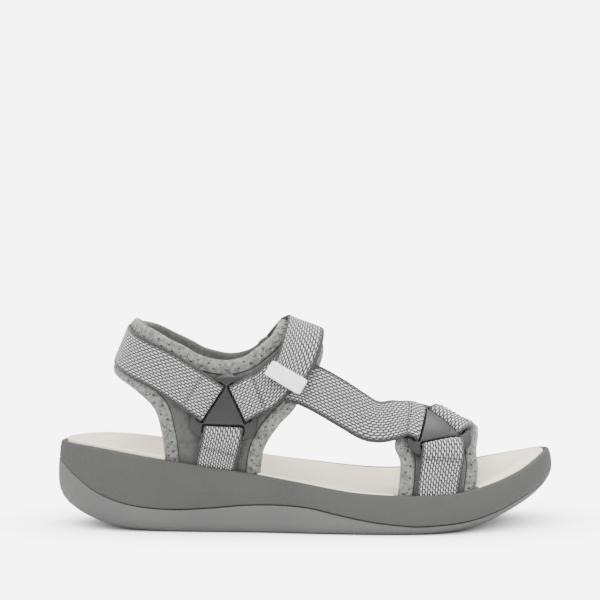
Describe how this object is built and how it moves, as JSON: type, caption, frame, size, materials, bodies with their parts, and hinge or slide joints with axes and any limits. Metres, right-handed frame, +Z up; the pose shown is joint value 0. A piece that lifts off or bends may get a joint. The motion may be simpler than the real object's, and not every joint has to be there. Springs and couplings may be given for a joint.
{
  "type": "strappy sport sandal",
  "caption": "Right-foot open-toe sport sandal with padded heel collar and forefoot band, webbing straps through triangular rings and a hook-and-loop instep closure on a deep two-layer sole.",
  "frame": {"origin": "centre of the overall bounding box in plan, at the lowest point of the tread", "axes": "+X from heel to toe along the sole, +Y towards the inner side of the foot, +Z up"},
  "size_m": [0.256, 0.0907, 0.109],
  "materials": {
    "outsole_rubber": "fine moulded texture, matt",
    "midsole_foam": "fine-grained moulded foam, matt",
    "board": "pressed fibre board",
    "foam": "open-cell foam",
    "footbed_suede": "napped microsuede",
    "lining": "smooth knitted lining",
    "shell_fabric": "fine stretch fabric over padding",
    "ring_plastic": "satin moulded plastic",
    "webbing": "woven webbing with light flecks",
    "hook_tape": "hook tape",
    "tab_rubber": "smooth moulded rubber"
  },
  "bodies": {
    "upper_and_sole": {"outsole": "outsole_rubber", "midsole": "midsole_foam", "insole_board": "board", "footbed_foam": "foam", "footbed_cover": "footbed_suede", "collar_lining": "lining", "collar_foam": "foam", "collar_shell": "shell_fabric", "vamp_lining": "lining", "vamp_foam": "foam", "vamp_shell": "shell_fabric", "ankle_ring": "ring_plastic", "front_ring": "ring_plastic", "medial_ring": "ring_plastic", "heel_web": "webbing", "ankle_anchor_web": "webbing", "loop_web": "webbing", "front_anchor_web": "webbing", "instep_web": "webbing", "vamp_web": "webbing", "medial_anchor_web": "webbing"},
    "closure_upper": {"closure_upper": "webbing"},
    "closure_end": {"closure_end": "webbing", "hook_patch": "hook_tape", "pull_tab": "tab_rubber"}
  },
  "joints": [
    {"name": "strap_swing", "type": "hinge", "parent": "upper_and_sole", "child": "closure_upper", "pos_m": [-0.02635, 0.03274, 0.07032], "axis": [-0.842, 0.069, 0.535], "range_deg": [0, 45]},
    {"name": "strap_peel", "type": "hinge", "parent": "closure_upper", "child": "closure_end", "pos_m": [-0.0038, 0.00418, 0.10269], "axis": [-0.8349, -0.247, 0.4919], "range_deg": [0, 120]}
  ]
}
